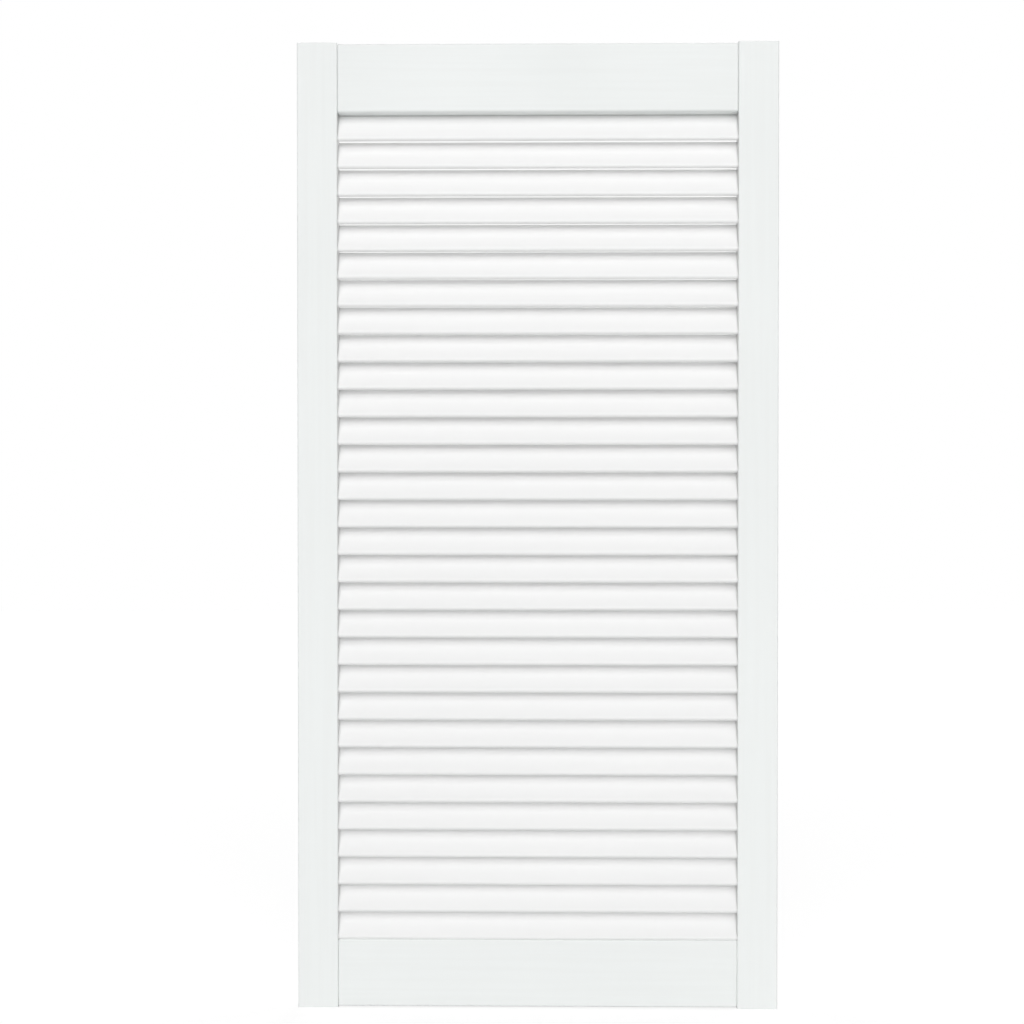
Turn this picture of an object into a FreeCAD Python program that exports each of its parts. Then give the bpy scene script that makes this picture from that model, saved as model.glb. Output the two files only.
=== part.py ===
import FreeCAD, Part
import math
import os
import Sketcher

# Louvred door leaf in painted softwood: two stiles, two rails tenoned into them, and a stack of fixed
# slats whose ends sit in sloping housings in the stiles. Millimetres, +Z up, front towards -Y.
# The origin is at the foot of the hinge edge, half way through the thickness.

DRIVING_SIZES = [
    ("door_height", 993, "length of the stiles"),
    ("door_width", 494, "over both stiles"),
    ("door_thickness", 21, "stiles and rails alike"),
    ("stile_width", 41.5, "face width of a stile"),
    ("top_rail_height", 70.5, "face height of the top rail"),
    ("bottom_rail_height", 69, "face height of the bottom rail"),
    ("rail_setback", 1.5, "how far each rail stops short of the stile ends"),
    ("top_rail_nose", 3, "rounding of the top rail's lower edges, front and rear"),
    ("arris_radius", 1.5, "easing of the stiles' long edges and of all the rails' other edges"),
    ("shoulder_gap", 0.12, "open line left between a rail's shoulder and the stile"),
    ("slat_count", 30, "number of slats between the rails"),
    ("slat_thickness", 6, "slat stock, with both long edges fully rounded"),
    ("slat_angle", 60, "slope of a slat from level in degrees, front edge low"),
    ("slat_recess", 0.75, "how far the slat edges stay behind the door's faces"),
    ("slat_rail_gap", 0.1, "gap between the end slats and the rails"),
    ("end_slat_trim", 0.9, "planed off the top slat's upper edge and the bottom slat's lower edge"),
    ("housing_depth", 8, "depth of a slat's housing in the stile"),
    ("housing_clearance", 0.15, "play all round a slat in its housing"),
    ("slat_end_clearance", 0.5, "play at the bottom of a housing"),
    ("tenon_thickness", 8, "tenons on the rail ends, in the middle of the thickness"),
    ("tenon_length", 25, "how far a tenon reaches into its stile"),
    ("tenon_shoulder", 12, "step from a rail's long edge down to its tenon"),
    ("tenon_clearance", 0.1, "glue room round a tenon"),
    ("tenon_end_clearance", 1, "glue room past the end of a tenon"),
]

# Sizes that follow from the driving ones, as expressions on the sheet.
HALF_THICKNESS = "sizes.door_thickness / 2"
RAIL_LENGTH = "(sizes.door_width - 2 * sizes.stile_width)"
RIGHT_STILE_X = "(sizes.door_width - sizes.stile_width)"
TOP_RAIL_Z = "(sizes.door_height - sizes.rail_setback - sizes.top_rail_height)"
OPENING_FOOT = "(sizes.rail_setback + sizes.bottom_rail_height)"
SLAT_DEPTH = "(sizes.door_thickness - 2 * sizes.slat_recess)"
SLAT_CORE = "((" + SLAT_DEPTH + " - sizes.slat_thickness) / cos(sizes.slat_angle))"
SLAT_RISE = "(" + SLAT_CORE + " * sin(sizes.slat_angle) + sizes.slat_thickness)"
SLAT_LENGTH = "(" + RAIL_LENGTH + " + 2 * sizes.housing_depth - 2 * sizes.slat_end_clearance)"
SLAT_X = "(sizes.stile_width - sizes.housing_depth + sizes.slat_end_clearance)"
END_SLAT_REACH = "(" + SLAT_RISE + " / 2 - sizes.end_slat_trim)"
LOWEST_SLAT_Z = "(" + OPENING_FOOT + " + sizes.slat_rail_gap + " + END_SLAT_REACH + ")"
HIGHEST_SLAT_Z = "(" + TOP_RAIL_Z + " - sizes.slat_rail_gap - " + END_SLAT_REACH + ")"
SLAT_RUN = "(" + HIGHEST_SLAT_Z + " - " + LOWEST_SLAT_Z + ")"
HOUSING_THICKNESS = "(sizes.slat_thickness + 2 * sizes.housing_clearance)"
MORTISE_THICKNESS = "(sizes.tenon_thickness + 2 * sizes.tenon_clearance)"
MORTISE_DEPTH = "(sizes.tenon_length + sizes.tenon_end_clearance)"
MORTISE_SHOULDER = "(sizes.tenon_shoulder - sizes.tenon_clearance)"

# The two rails: the height of the lower edge in the door, the face height, and the lower edges' rounding.
RAILS = {
    "bottom_rail": ("sizes.rail_setback", "sizes.bottom_rail_height", "sizes.arris_radius"),
    "top_rail": (TOP_RAIL_Z, "sizes.top_rail_height", "sizes.top_rail_nose"),
}

# The sketcher numbers the points of an element by their place in this list, and a sketch's own axes
# downwards from the first number below zero. The level axis starts at the origin.
POINTS = ["edge", "start", "end", "centre"]
START, END, CENTRE = (POINTS.index(name) for name in POINTS[1:])
AXES = ["level", "upright"]
LEVEL_AXIS, UPRIGHT_AXIS = (~AXES.index(name) for name in AXES)
ORIGIN = (LEVEL_AXIS, START)

# The door's own directions.
ACROSS, UPWARD = FreeCAD.Vector(1, 0, 0), FreeCAD.Vector(0, 0, 1)

doc = FreeCAD.newDocument("louvred_door")


def fill_sheet():
    """Write the driving sizes to the sheet, one row each: the size's name, its value and its use."""
    sheet = doc.addObject("Spreadsheet::Sheet", "sizes")
    for row, (name, value, use) in enumerate(DRIVING_SIZES, start=1):
        sheet.set("A%d" % row, name)
        sheet.set("B%d" % row, str(value))
        sheet.setAlias("B%d" % row, name)
        sheet.set("C%d" % row, use)
    doc.recompute()
    return sheet


def new_body(label, x="0", z="0"):
    """A body named for its piece, with its place along and up the door bound to the sheet."""
    body = doc.addObject("PartDesign::Body", label)
    body.Label = label
    body.setExpression("Placement.Base.x", x)
    body.setExpression("Placement.Base.z", z)
    return body


def new_sketch(body, role, name, lift="0"):
    """A sketch on one of the body's own origin planes, lifted along the plane's normal."""
    plane = next(item for item in body.Origin.OriginFeatures if item.Role == role)
    sketch = body.newObject("Sketcher::SketchObject", name)
    sketch.AttachmentSupport = (plane, [""])
    sketch.MapMode = "FlatFace"
    sketch.setExpression("AttachmentOffset.Base.z", lift)
    return sketch


def hold(sketch, expression, *constraint):
    """Add a dimension to the sketch and bind it to the sheet."""
    index = sketch.addConstraint(Sketcher.Constraint(*constraint))
    sketch.setExpression("Constraints[%d]" % index, expression)


def value_of(expression):
    """The number that an expression on the sheet gives, for the first guess of a sketch."""
    return float(doc.sizes.evalExpression(expression.replace("sizes.", "")))


def draw_rectangle(sketch, corner_x, corner_y, width, height):
    """A rectangle with its lowest corner held at corner_x and corner_y from the sketch's origin."""
    left, low = value_of(corner_x), value_of(corner_y)
    right, high = left + value_of(width), low + value_of(height)
    corners = [FreeCAD.Vector(x, y, 0) for x, y in ((left, low), (right, low), (right, high), (left, high))]
    sides = []
    for start, end in zip(corners, corners[1:] + corners[:1]):
        sides.append(sketch.addGeometry(Part.LineSegment(start, end), False))
    for side, following in zip(sides, sides[1:] + sides[:1]):
        sketch.addConstraint(Sketcher.Constraint("Coincident", side, END, following, START))
    foot, right_side, head, left_side = sides
    for level in (foot, head):
        sketch.addConstraint(Sketcher.Constraint("Horizontal", level))
    for upright in (right_side, left_side):
        sketch.addConstraint(Sketcher.Constraint("Vertical", upright))
    hold(sketch, corner_x, "DistanceX", *ORIGIN, foot, START, left)
    hold(sketch, corner_y, "DistanceY", *ORIGIN, foot, START, low)
    hold(sketch, width, "DistanceX", foot, START, foot, END, right - left)
    hold(sketch, height, "DistanceY", right_side, START, right_side, END, high - low)


def draw_slat_outline(sketch, centre_height, thickness):
    """A sloping bar with round ends, centred at a height on the upright axis.

    The outline of a slat and the outline of its housing differ only in thickness: both have the
    slat's core line, from the centre of one round edge to the centre of the other.
    """
    core, radius = value_of(SLAT_CORE), value_of(thickness) / 2
    slope = math.radians(value_of("sizes.slat_angle"))
    to_front, to_rear = slope + math.pi / 2, slope - math.pi / 2
    normal = FreeCAD.Vector(0, 0, 1)
    middle = FreeCAD.Vector(0, value_of(centre_height), 0)
    along = FreeCAD.Vector(math.cos(slope), math.sin(slope), 0) * (core / 2)
    across = FreeCAD.Vector(math.cos(to_front), math.sin(to_front), 0) * radius
    low, high = middle - along, middle + along
    low_edge = Part.ArcOfCircle(Part.Circle(low, normal, radius), to_front, to_rear + 2 * math.pi)
    high_edge = Part.ArcOfCircle(Part.Circle(high, normal, radius), to_rear, to_front)
    low_arc = sketch.addGeometry(low_edge, False)
    high_arc = sketch.addGeometry(high_edge, False)
    front_side = sketch.addGeometry(Part.LineSegment(high + across, low + across), False)
    rear_side = sketch.addGeometry(Part.LineSegment(low - across, high - across), False)
    core_line = sketch.addGeometry(Part.LineSegment(low, high), True)
    centre_point = sketch.addGeometry(Part.Point(middle), True)
    for constraint in (
        ("Tangent", high_arc, END, front_side, START),
        ("Tangent", front_side, END, low_arc, START),
        ("Tangent", low_arc, END, rear_side, START),
        ("Tangent", rear_side, END, high_arc, START),
        ("Equal", low_arc, high_arc),
        ("Coincident", core_line, START, low_arc, CENTRE),
        ("Coincident", core_line, END, high_arc, CENTRE),
        ("PointOnObject", centre_point, START, UPRIGHT_AXIS),
        ("Symmetric", core_line, START, core_line, END, centre_point, START),
    ):
        sketch.addConstraint(Sketcher.Constraint(*constraint))
    hold(sketch, thickness + " / 2", "Radius", low_arc, radius)
    hold(sketch, SLAT_CORE, "Distance", core_line, core)
    hold(sketch, "sizes.slat_angle", "Angle", core_line, slope)
    hold(sketch, centre_height, "DistanceY", *ORIGIN, centre_point, START, middle.y)


def pad(body, sketch, name, length):
    """Raise a sketch into a solid along its plane's normal."""
    feature = body.newObject("PartDesign::Pad", name)
    feature.Profile = sketch
    feature.setExpression("Length", length)
    doc.recompute()
    return feature


def pocket(body, sketch, name, depth, along_normal):
    """Cut a sketch into the body, along the sketch's normal or against it."""
    before = body.Shape.Volume
    feature = body.newObject("PartDesign::Pocket", name)
    feature.Profile = sketch
    feature.Reversed = along_normal
    feature.setExpression("Length", depth)
    doc.recompute()
    if body.Shape.Volume >= before:
        raise RuntimeError("%s of %s cuts nothing" % (name, body.Label))
    return feature


def runs_along(edge, direction):
    """Whether a straight edge runs in a direction or against it."""
    run = edge.Vertexes[-1].Point - edge.Vertexes[0].Point
    return run.normalize().isParallel(direction, 1e-6)


def ease_edges(body, base, name, radius, wanted):
    """Round those edges of a feature that the test picks out, and give the rounded feature."""
    numbers = [number for number, edge in enumerate(base.Shape.Edges, start=1) if wanted(edge)]
    fillet = body.newObject("PartDesign::Fillet", name)
    fillet.Base = (base, ["Edge%d" % number for number in numbers])
    fillet.setExpression("Radius", radius)
    doc.recompute()
    return fillet


def make_stile(label, x, inner_face, cuts_along_x):
    """One stile: a bar on end, with a sloping housing for each slat and a mortise for each rail.

    inner_face is the housed face's place across the stile, and cuts_along_x says which way
    the housings and mortises run from it.
    """
    body = new_body(label, x=x)
    section = new_sketch(body, "XY_Plane", "section")
    draw_rectangle(section, "0", "-" + HALF_THICKNESS, "sizes.stile_width", "sizes.door_thickness")
    bar = pad(body, section, "bar", "sizes.door_height")
    ease_edges(body, bar, "eased_arrises", "sizes.arris_radius", lambda edge: runs_along(edge, UPWARD))

    outline = new_sketch(body, "YZ_Plane", "housing_outline", lift=inner_face)
    draw_slat_outline(outline, LOWEST_SLAT_Z, HOUSING_THICKNESS)
    housing = pocket(body, outline, "housing", "sizes.housing_depth", cuts_along_x)

    before = body.Shape.Volume
    housings = body.newObject("PartDesign::LinearPattern", "housings")
    housings.Originals = [housing]
    upright = next(item for item in body.Origin.OriginFeatures if item.Role == "Z_Axis")
    housings.Direction = (upright, [""])
    housings.setExpression("Length", SLAT_RUN)
    housings.setExpression("Occurrences", "sizes.slat_count")
    body.Tip = housings
    doc.recompute()
    if body.Shape.Volume >= before:
        raise RuntimeError("the housings of %s are not repeated" % label)

    mouths = new_sketch(body, "YZ_Plane", "mortise_mouths", lift=inner_face)
    for foot, height, _ in RAILS.values():
        mouth_foot = "(%s + %s)" % (foot, MORTISE_SHOULDER)
        mouth_height = "(%s - 2 * %s)" % (height, MORTISE_SHOULDER)
        draw_rectangle(mouths, "-" + MORTISE_THICKNESS + " / 2", mouth_foot, MORTISE_THICKNESS, mouth_height)
    pocket(body, mouths, "mortises", MORTISE_DEPTH, cuts_along_x)
    return body


def make_rail(label, foot, height, lower_rounding):
    """One rail: a bar lying between the stiles, with a tenon on each end.

    Once its two long lower edges are rounded, the sharp edges that are left are eased: they all have
    their middle in the upper half, or run on smoothly from one that has.
    The two tenons are the ends of one longer, thinner bar that runs right through the rail.
    """
    body = new_body(label, x="sizes.stile_width", z=foot)
    section = new_sketch(body, "YZ_Plane", "section", lift="sizes.shoulder_gap")
    draw_rectangle(section, "-" + HALF_THICKNESS, "0", "sizes.door_thickness", height)
    bar = pad(body, section, "bar", RAIL_LENGTH + " - 2 * sizes.shoulder_gap")
    middle = value_of(height) / 2
    nosed = ease_edges(body, bar, "lower_edges", lower_rounding,
                       lambda edge: runs_along(edge, ACROSS) and edge.CenterOfMass.z < middle)
    ease_edges(body, nosed, "eased_arrises", "sizes.arris_radius", lambda edge: edge.CenterOfMass.z > middle)

    tenon = new_sketch(body, "YZ_Plane", "tenon_section", lift="-sizes.tenon_length")
    tenon_height = "(" + height + " - 2 * sizes.tenon_shoulder)"
    tenon_side = "-sizes.tenon_thickness / 2"
    draw_rectangle(tenon, tenon_side, "sizes.tenon_shoulder", "sizes.tenon_thickness", tenon_height)
    pad(body, tenon, "tenons", RAIL_LENGTH + " + 2 * sizes.tenon_length")
    return body


def make_slat(label, step):
    """One slat, a number of steps above the lowest."""
    z = "(%s + %d * %s / (sizes.slat_count - 1))" % (LOWEST_SLAT_Z, step, SLAT_RUN)
    body = new_body(label, x=SLAT_X, z=z)
    outline = new_sketch(body, "YZ_Plane", "outline")
    draw_slat_outline(outline, "0", "sizes.slat_thickness")
    pad(body, outline, "blade", SLAT_LENGTH)
    return body


def trim_slat(body, foot):
    """Plane the outer edge of an end slat level, from a height in the slat's own frame upwards."""
    waste = new_sketch(body, "YZ_Plane", "trimmed_edge")
    draw_rectangle(waste, "-" + HALF_THICKNESS, foot, "sizes.door_thickness", "sizes.end_slat_trim")
    pocket(body, waste, "trim", SLAT_LENGTH, along_normal=True)


def make_door():
    """Every piece of the door: stiles, rails, and slats from the bottom up."""
    pieces = [
        make_stile("left_stile", "0", "sizes.stile_width", cuts_along_x=False),
        make_stile("right_stile", RIGHT_STILE_X, "0", cuts_along_x=True),
    ]
    for label, (foot, height, lower_rounding) in RAILS.items():
        pieces.append(make_rail(label, foot, height, lower_rounding))
    slats = [make_slat("slat_%02d" % (step + 1), step) for step in range(int(doc.sizes.slat_count))]
    trim_slat(slats[0], "-" + SLAT_RISE + " / 2")
    trim_slat(slats[-1], END_SLAT_REACH)
    return pieces + slats


def check_document(pieces):
    """Stop if any object of the document failed, or any piece isn't one sound solid."""
    for item in doc.Objects:
        if "Invalid" in item.State or "Error" in item.State:
            raise RuntimeError("%s failed: %s" % (item.Label, item.State))
    for piece in pieces:
        if piece.Shape.isNull() or not piece.Shape.isValid() or len(piece.Shape.Solids) != 1:
            raise RuntimeError("%s is not one sound solid" % piece.Label)


fill_sheet()
door_pieces = make_door()
doc.recompute()
check_document(door_pieces)
os.makedirs("parts", exist_ok=True)
for piece in door_pieces:
    piece.Shape.exportStep("parts/%s.step" % piece.Label)
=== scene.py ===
"""Dress the louvred door: satin white paint over softwood boards, in a plain white studio.

Everything is in metres, in the door's own frame: +X across the leaf from the hinge edge, +Y from
front to back, +Z up, with the foot of the hinge edge at the origin.
"""

import logging
import math
from dataclasses import dataclass, replace
from enum import Enum
from typing import Any

import bpy
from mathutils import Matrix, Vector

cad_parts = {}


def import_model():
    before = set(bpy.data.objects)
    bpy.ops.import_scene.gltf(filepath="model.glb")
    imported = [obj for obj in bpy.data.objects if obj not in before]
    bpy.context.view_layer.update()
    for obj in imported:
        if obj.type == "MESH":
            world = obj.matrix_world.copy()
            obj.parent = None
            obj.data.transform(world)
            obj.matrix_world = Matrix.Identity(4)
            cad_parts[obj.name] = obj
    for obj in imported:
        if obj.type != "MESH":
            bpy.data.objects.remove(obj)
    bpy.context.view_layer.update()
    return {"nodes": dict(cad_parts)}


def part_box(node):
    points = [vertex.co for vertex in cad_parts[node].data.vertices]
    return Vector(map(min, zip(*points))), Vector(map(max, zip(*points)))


SENSOR_WIDTH_MM = 36.0
PHOTO_SIDE_PX = 1024
MM_IN_METRE = 1000.0
WHITE = (1.0, 1.0, 1.0)
WHITE_STRENGTH = 1.0

# Lamps and cameras start out looking straight down, and this turn makes them look level.
LEVEL_TURN_DEG = 90.0

# What a reading becomes from the start of its range to the end.
RISING = (0.0, 1.0)
FALLING = (1.0, 0.0)

# A Mix node has sockets for each kind of value, and these are the numbers of those for colours.
MIX_SHARE = 0
MIX_FIRST = 6
MIX_SECOND = 7
MIX_RESULT = 2

log = logging.getLogger("louvred_door")

Colour = tuple[float, float, float]
Point = tuple[float, float, float]
Span = tuple[float, float]
Socket = bpy.types.NodeSocket


def solid(colour: Colour) -> tuple[float, float, float, float]:
    """The colour as a shader takes it, with nothing see-through."""
    return (*colour, 1.0)


class Grain(Enum):
    """The way a board's grain runs, as a direction in the door's frame."""

    UPRIGHT = (0.0, 0.0, 1.0)
    LEVEL = (1.0, 0.0, 0.0)

    def squeeze(self, share: float) -> Point:
        """A scale for each axis, which draws a texture out along the grain."""
        return tuple(share if along else 1.0 for along in self.value)


class ShaderBoard:
    """Adds nodes to one node tree and joins them."""

    def __init__(self, tree: bpy.types.NodeTree) -> None:
        """Start from an empty tree."""
        self.tree = tree
        self.tree.nodes.clear()

    def add(self, kind: str, inputs: dict[Any, Any] | None = None, **settings: Any) -> bpy.types.Node:
        """Add a node, set its options and fill its sockets.

        Args:
            kind: The node's type name.
            inputs: Socket name or number to a plain value, or to another node's output socket.
            settings: The node's own options.

        Returns:
            The new node.
        """
        node = self.tree.nodes.new(kind)
        for name, value in settings.items():
            setattr(node, name, value)
        for name, value in (inputs or {}).items():
            if isinstance(value, Socket):
                self.tree.links.new(value, node.inputs[name])
            else:
                node.inputs[name].default_value = value
        return node

    def calc(self, operation: str, first: Any, second: Any = 0.0) -> Socket:
        """The result of a Math node on two numbers or sockets."""
        return self.add("ShaderNodeMath", {0: first, 1: second}, operation=operation).outputs[0]

    def weigh(self, *parts: tuple[Socket, float]) -> Socket:
        """The sum of several readings, each times its weight.

        Args:
            parts: Each reading's socket with its weight.

        Returns:
            The sum's socket.
        """
        total: Any = 0.0
        for reading, weight in parts:
            inputs = {0: reading, 1: weight, 2: total}
            total = self.add("ShaderNodeMath", inputs, operation="MULTIPLY_ADD").outputs[0]
        return total

    def remap(self, value: Socket, source: Span, target: Span) -> Socket:
        """A value moved smoothly from one range to another, and held at the range's ends.

        Args:
            value: The socket to read.
            source: Start and end of the range read.
            target: The results at that start and end.

        Returns:
            The moved value's socket.
        """
        low, high = source
        to_low, to_high = target
        ends = {"Value": value, "From Min": low, "From Max": high, "To Min": to_low, "To Max": to_high}
        return self.add("ShaderNodeMapRange", ends, interpolation_type="SMOOTHSTEP").outputs["Result"]

    def noise(self, place: Socket, lump_mm: float, detail: float, fineness: float = 0.5) -> Socket:
        """Soft noise between 0 and 1, with lumps of about the size given and finer ones over them."""
        inputs = {"Vector": place, "Scale": MM_IN_METRE / lump_mm, "Detail": detail, "Roughness": fineness}
        return self.add("ShaderNodeTexNoise", inputs).outputs["Fac"]

    def mix(self, share: Socket, first: Any, second: Any) -> Socket:
        """A colour between two others, by the share of the second."""
        inputs = {MIX_SHARE: share, MIX_FIRST: first, MIX_SECOND: second}
        return self.add("ShaderNodeMix", inputs, data_type="RGBA").outputs[MIX_RESULT]

    def seen(self) -> Socket:
        """One for rays that show a surface to the eye: straight, by a reflection or through glass.

        Returns:
            The mask's socket.
        """
        path = self.add("ShaderNodeLightPath").outputs
        shown = self.calc("MAXIMUM", path["Is Camera Ray"], path["Is Glossy Ray"])
        return self.calc("MAXIMUM", shown, path["Is Transmission Ray"])


@dataclass(frozen=True)
class SlatRoom:
    """The space inside the frame that the slats fill."""

    sides: Span
    heights: Span

    @classmethod
    def measure(cls) -> "SlatRoom":
        """Read the space from the stiles and the rails.

        Returns:
            The space between the stiles' inner faces and between the rails.
        """
        _, left_stile_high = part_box("left_stile")
        right_stile_low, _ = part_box("right_stile")
        _, bottom_rail_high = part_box("bottom_rail")
        top_rail_low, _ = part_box("top_rail")
        return cls((left_stile_high.x, right_stile_low.x), (bottom_rail_high.z, top_rail_low.z))


@dataclass(frozen=True)
class FootShade:
    """Painted shade over a finish, darkest at the foot of the door and fading out higher up."""

    colour: Colour
    darkest_height: float
    unshaded_height: float

    def cover(self, board: ShaderBoard, place: Socket) -> Socket:
        """The share of the finish under the painted shade, by height in the door."""
        height = board.add("ShaderNodeSeparateXYZ", {"Vector": place}).outputs["Z"]
        return board.remap(height, (self.darkest_height, self.unshaded_height), FALLING)


@dataclass(frozen=True)
class CornerShade:
    """Painted shade in the corners where the slats run into the stiles."""

    colour: Colour
    reach: float
    room: SlatRoom

    def cover(self, board: ShaderBoard, place: Socket) -> Socket:
        """The share of the finish under the painted shade, by the distance from the stiles' inner faces.

        Args:
            board: The board to add to.
            place: The socket of the points where it is read.

        Returns:
            The share's socket.
        """
        across, _, height = board.add("ShaderNodeSeparateXYZ", {"Vector": place}).outputs
        left, right = (
            board.calc("ABSOLUTE", board.calc("SUBTRACT", across, side)) for side in self.room.sides
        )
        near = board.remap(board.calc("MINIMUM", left, right), (0.0, self.reach), FALLING)
        low, high = self.room.heights
        above = board.calc("GREATER_THAN", height, low)
        below = board.calc("LESS_THAN", height, high)
        return board.calc("MULTIPLY", near, board.calc("MULTIPLY", above, below))


@dataclass(frozen=True)
class PaintedWood:
    """Satin paint sprayed on a softwood board, thin enough for the grain to show as faint relief."""

    name: str
    grain: Grain
    colour: Colour
    thin_colour: Colour
    roughness: float
    # Layers of painted shade laid over the paint.
    painted_shades: tuple[FootShade | CornerShade, ...] = ()

    # Sizes across the growth rings, wood fibres, spray texture and cloudy changes of tone, and the
    # scale that is left along the grain.
    ring_mm: float = 4.5
    fibre_mm: float = 0.8
    spray_mm: float = 1.3
    cloud_mm: float = 220.0
    stretch: float = 0.025

    # The relief's depth and strength, and what each texture adds to it.
    relief_mm: float = 0.03
    relief_strength: float = 0.6
    ring_relief: float = 0.5
    fibre_relief: float = 0.25
    spray_relief: float = 0.25
    pore_relief: float = 1.0

    # How thin the paint gets over the rings, in the clouds and on the end grain.
    ring_thinning: float = 0.45
    cloud_thinning: float = 0.35
    end_thinning: float = 0.4

    # How the roughness changes over the clouds, on the fibres and on the end grain.
    cloud_dulling: Span = (-0.04, 0.05)
    fibre_dulling: float = 0.05
    end_dulling: float = 0.15

    # The ranges of noise at a ring's and a cloud's edge, and of a face's turn across the grain.
    ring_edge: Span = (0.38, 0.66)
    cloud_edge: Span = (0.3, 0.7)
    end_turn: Span = (0.8, 0.95)

    def material(self) -> bpy.types.Material:
        """Make the finish as a material.

        Returns:
            The new material.
        """
        made = bpy.data.materials.new(self.name)
        made.use_nodes = True
        board = ShaderBoard(made.node_tree)
        place = board.add("ShaderNodeTexCoord").outputs["Object"]
        scales = self.grain.squeeze(self.stretch)
        drawn_out = board.add("ShaderNodeMapping", {"Vector": place, "Scale": scales}).outputs["Vector"]
        rings = board.remap(board.noise(drawn_out, self.ring_mm, detail=2.0), self.ring_edge, RISING)
        fibres = board.noise(drawn_out, self.fibre_mm, detail=2.0, fineness=0.6)
        spray = board.noise(place, self.spray_mm, detail=1.0)
        cloud = board.noise(place, self.cloud_mm, detail=2.0)
        end_grain = self._end_grain(board)
        specks = board.noise(place, self.fibre_mm, detail=3.0, fineness=0.7)
        pores = board.calc("MULTIPLY", specks, end_grain)

        height = board.weigh(
            (rings, self.ring_relief),
            (fibres, self.fibre_relief),
            (spray, self.spray_relief),
            (pores, self.pore_relief),
        )
        depth = self.relief_mm / MM_IN_METRE
        relief = {"Height": height, "Strength": self.relief_strength, "Distance": depth}
        normal = board.add("ShaderNodeBump", relief).outputs["Normal"]

        thinness = board.weigh(
            (rings, self.ring_thinning), (cloud, self.cloud_thinning), (end_grain, self.end_thinning)
        )
        colour = board.mix(thinness, solid(self.colour), solid(self.thin_colour))
        # Lay the painted shade over the paint colour.
        for layer in self.painted_shades:
            colour = board.mix(layer.cover(board, place), colour, solid(layer.colour))

        satin_range = tuple(self.roughness + change for change in self.cloud_dulling)
        satin = board.remap(cloud, self.cloud_edge, satin_range)
        dull = board.weigh((satin, 1.0), (fibres, self.fibre_dulling), (end_grain, self.end_dulling))

        paint = {"Base Color": colour, "Roughness": dull, "Normal": normal}
        shader = board.add("ShaderNodeBsdfPrincipled", paint).outputs["BSDF"]
        board.add("ShaderNodeOutputMaterial", {"Surface": shader})
        return made

    def _end_grain(self, board: ShaderBoard) -> Socket:
        """One where a face is cut across the grain, and zero along it.

        Args:
            board: The board to add to.

        Returns:
            The mask's socket.
        """
        normal = board.add("ShaderNodeNewGeometry").outputs["True Normal"]
        pair = {0: normal, 1: self.grain.value}
        facing = board.add("ShaderNodeVectorMath", pair, operation="DOT_PRODUCT").outputs["Value"]
        return board.remap(board.calc("ABSOLUTE", facing), self.end_turn, RISING)


def paint_piece(piece: bpy.types.Object, finish: bpy.types.Material) -> None:
    """Give a piece one finish all over, and report it.

    Args:
        piece: The piece to paint.
        finish: Its material.
    """
    piece.data.materials.clear()
    piece.data.materials.append(finish)
    log.info("%s painted with %s", piece.name, finish.name)


@dataclass
class FaceFrame:
    """The stiles and rails that stand round the slats."""

    stiles: tuple[str, ...]
    rails: tuple[str, ...]
    stile_paint: PaintedWood
    rail_paint: PaintedWood

    def dress(self, nodes: dict[str, bpy.types.Object]) -> None:
        """Paint the stiles and the rails, each along its own grain.

        Args:
            nodes: The door's pieces by name.
        """
        for names, paint in ((self.stiles, self.stile_paint), (self.rails, self.rail_paint)):
            finish = paint.material()
            for name in names:
                paint_piece(nodes[name], finish)


@dataclass
class SlatStack:
    """The sloping slats between the rails."""

    slats: tuple[str, ...]
    paint: PaintedWood

    def dress(self, nodes: dict[str, bpy.types.Object]) -> None:
        """Paint every slat along its grain.

        Args:
            nodes: The door's pieces by name.
        """
        finish = self.paint.material()
        for name in self.slats:
            paint_piece(nodes[name], finish)


@dataclass(frozen=True)
class SoftLight:
    """A broad, far-off light that falls evenly over the whole door."""

    name: str
    side_deg: float
    height_deg: float
    spread_deg: float
    strength: float

    def hang(self) -> None:
        """Make the light and turn it towards the door."""
        lamp = bpy.data.lights.new(self.name, "SUN")
        lamp.angle = math.radians(self.spread_deg)
        lamp.energy = self.strength
        holder = bpy.data.objects.new(self.name, lamp)
        tilt = math.radians(LEVEL_TURN_DEG - self.height_deg)
        holder.rotation_euler = (tilt, 0.0, math.radians(self.side_deg))
        bpy.context.scene.collection.objects.link(holder)
        log.info("%s hung", self.name)


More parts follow.
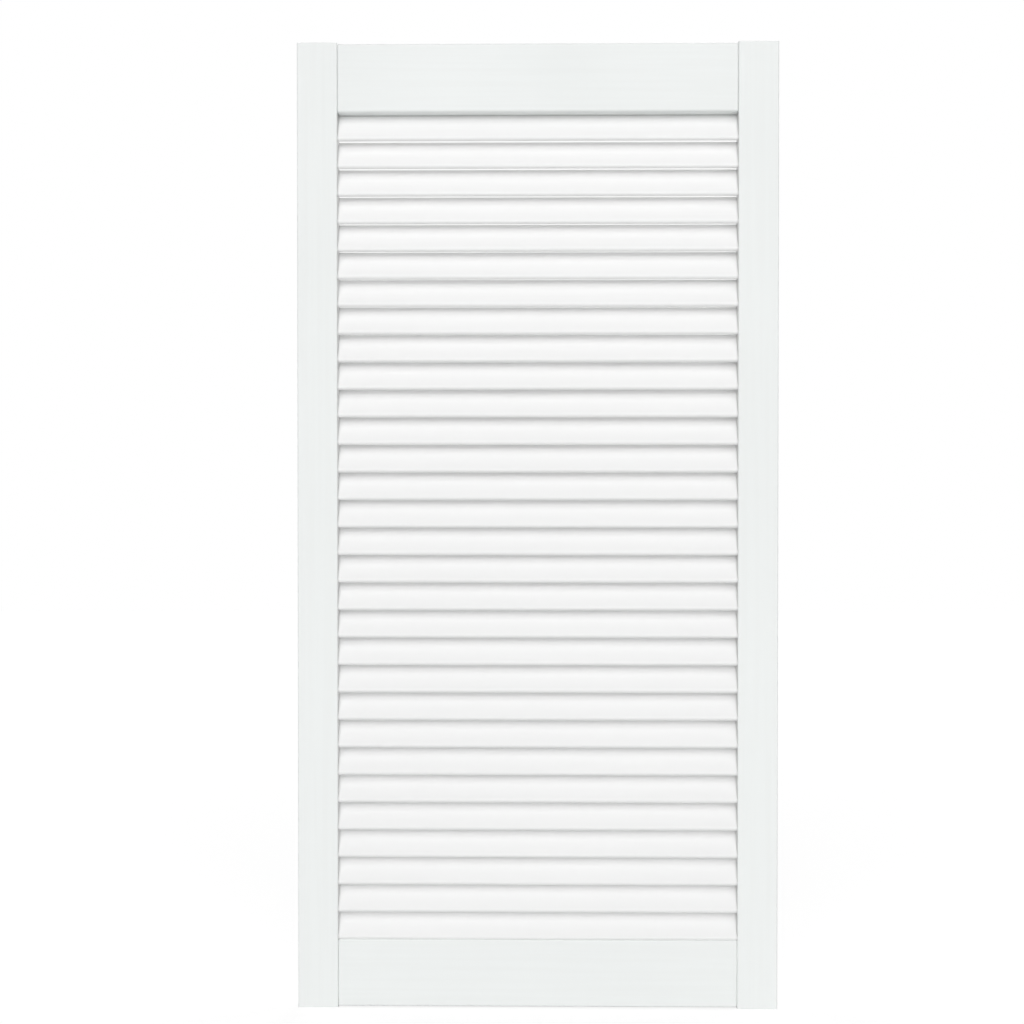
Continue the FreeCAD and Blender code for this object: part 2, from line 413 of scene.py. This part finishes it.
@dataclass
class Studio:
    """A white floor in a white room, with soft lights before and behind the door.

    The floor throws light back on the door as bounce_colour. The eye sees it as shown_colour with
    floor_glow added, which makes white where no shadow falls.
    """

    floor_side: float
    floor_drop: float
    bounce_colour: Colour
    shown_colour: Colour
    floor_glow: float
    room_light: float
    lights: tuple[SoftLight, ...]

    def build(self) -> None:
        """Lay the floor, light the room and hang the lights."""
        self._lay_floor()
        self._light_room()
        for light in self.lights:
            light.hang()

    def _lay_floor(self) -> None:
        """Lay a plain square floor under the door."""
        half = self.floor_side / 2
        corners = [(-half, -half, 0.0), (half, -half, 0.0), (half, half, 0.0), (-half, half, 0.0)]
        mesh = bpy.data.meshes.new("studio_floor")
        mesh.from_pydata(corners, [], [(0, 1, 2, 3)])
        mesh.materials.append(self._floor_finish())
        floor = bpy.data.objects.new("studio_floor", mesh)
        floor.location = (0.0, 0.0, -self.floor_drop)
        bpy.context.scene.collection.objects.link(floor)
        log.info("%s laid", floor.name)

    def _floor_finish(self) -> bpy.types.Material:
        """Make a matt finish that shows white and keeps the door's shadow.

        Returns:
            The new material.
        """
        finish = bpy.data.materials.new("floor_white")
        finish.use_nodes = True
        board = ShaderBoard(finish.node_tree)
        bounce, faint = (
            board.add("ShaderNodeBsdfDiffuse", {"Color": solid(colour)}).outputs["BSDF"]
            for colour in (self.bounce_colour, self.shown_colour)
        )
        lamp = {"Color": solid(WHITE), "Strength": self.floor_glow}
        glow = board.add("ShaderNodeEmission", lamp).outputs["Emission"]
        lifted = board.add("ShaderNodeAddShader", {0: faint, 1: glow}).outputs["Shader"]
        mixed = board.add("ShaderNodeMixShader", {0: board.seen(), 1: bounce, 2: lifted}).outputs["Shader"]
        board.add("ShaderNodeOutputMaterial", {"Surface": mixed})
        return finish

    def _light_room(self) -> None:
        """Put a white room all round, dimmer as a light than it looks."""
        world = bpy.data.worlds.new("studio_room")
        world.use_nodes = True
        bpy.context.scene.world = world
        board = ShaderBoard(world.node_tree)
        dim, plain = (
            board.add("ShaderNodeBackground", {"Color": solid(WHITE), "Strength": strength}).outputs[0]
            for strength in (self.room_light, WHITE_STRENGTH)
        )
        mixed = board.add("ShaderNodeMixShader", {0: board.seen(), 1: dim, 2: plain}).outputs["Shader"]
        board.add("ShaderNodeOutputWorld", {"Surface": mixed})


@dataclass(frozen=True)
class Viewpoint:
    """Where the camera stands and how it looks."""

    place: Point
    tilt_deg: float
    turn_deg: float
    focal_px: float

    def set_up(self) -> None:
        """Make the scene's camera."""
        lens = bpy.data.cameras.new("front_view")
        lens.sensor_width = SENSOR_WIDTH_MM
        lens.lens = self.focal_px / PHOTO_SIDE_PX * SENSOR_WIDTH_MM
        camera = bpy.data.objects.new("front_view", lens)
        camera.location = self.place
        tilt = math.radians(LEVEL_TURN_DEG + self.tilt_deg)
        camera.rotation_euler = (tilt, 0.0, math.radians(self.turn_deg))
        bpy.context.scene.collection.objects.link(camera)
        bpy.context.scene.camera = camera


def make_face_frame(room: SlatRoom) -> FaceFrame:
    """The stiles and rails in their paint, with painted shade along the stiles' inner faces.

    Args:
        room: The space that the slats fill.

    Returns:
        The face frame, not yet dressed.
    """
    stile_paint = PaintedWood(
        name="stile_paint",
        grain=Grain.UPRIGHT,
        colour=(0.838, 0.861, 0.853),
        thin_colour=(0.818, 0.838, 0.828),
        roughness=0.52,
        # Painted shade: a darker colour along the stiles' inner faces, where the crevice is in shade.
        painted_shades=(CornerShade(colour=(0.64, 0.645, 0.64), reach=0.0008, room=room),),
    )
    rail_paint = replace(stile_paint, name="rail_paint", grain=Grain.LEVEL, painted_shades=())
    return FaceFrame(("left_stile", "right_stile"), ("bottom_rail", "top_rail"), stile_paint, rail_paint)


def make_slat_stack(names: tuple[str, ...], room: SlatRoom) -> SlatStack:
    """The slats in a whiter copy of the frame's paint, which is painted light on their upturned faces,
    with painted shade towards the foot and at their ends.

    Args:
        names: The slats' names.
        room: The space that the slats fill.

    Returns:
        The slat stack, not yet dressed.
    """
    # Painted shade: the slats' colour darkens towards the door's foot.
    foot_shade = FootShade(colour=(0.832, 0.834, 0.832), darkest_height=0.1, unshaded_height=1.2)
    # Painted shade: the slats darken within a couple of millimetres of the stiles.
    slat_end_shade = CornerShade(colour=(0.69, 0.69, 0.685), reach=0.002, room=room)
    slat_paint = PaintedWood(
        name="slat_paint",
        grain=Grain.LEVEL,
        # Painted light: whiter than the stiles' and rails' paint, for the brighter light on the upturned
        # slat faces.
        colour=(0.922, 0.924, 0.922),
        thin_colour=(0.902, 0.902, 0.898),
        roughness=0.50,
        painted_shades=(foot_shade, slat_end_shade),
        ring_mm=3.0,
    )
    return SlatStack(names, slat_paint)


def make_studio() -> Studio:
    """The white studio with its lights.

    Returns:
        The studio, not yet built.
    """
    lights = (
        SoftLight("low_light", side_deg=0.0, height_deg=5.0, spread_deg=12.0, strength=0.31),
        SoftLight("front_light", side_deg=0.0, height_deg=20.0, spread_deg=12.0, strength=0.32),
        SoftLight("upper_light", side_deg=0.0, height_deg=30.0, spread_deg=60.0, strength=1.69),
        SoftLight("back_light", side_deg=165.0, height_deg=25.0, spread_deg=25.0, strength=1.0),
        SoftLight("right_rear_light", side_deg=120.0, height_deg=35.0, spread_deg=20.0, strength=0.55),
        SoftLight("left_rear_light", side_deg=-120.0, height_deg=35.0, spread_deg=20.0, strength=0.55),
    )
    return Studio(
        floor_side=12.0,
        floor_drop=0.0002,
        bounce_colour=(0.7, 0.7, 0.7),
        shown_colour=(0.3, 0.3, 0.3),
        floor_glow=0.77,
        room_light=0.15,
        lights=lights,
    )


def main() -> None:
    """Load the door, paint it, and set up the studio and the camera."""
    logging.basicConfig(level=logging.INFO, format="%(message)s")
    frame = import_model()
    nodes = frame["nodes"]

    room = SlatRoom.measure()
    make_face_frame(room).dress(nodes)
    slat_names = tuple(sorted(name for name in nodes if name.startswith("slat_")))
    make_slat_stack(slat_names, room).dress(nodes)

    bpy.context.scene.view_settings.view_transform = "Standard"
    make_studio().build()
    Viewpoint(place=(0.2500, -1.9105, 0.5391), tilt_deg=-0.828, turn_deg=0.88, focal_px=1849.6).set_up()


if __name__ == "__main__":
    main()
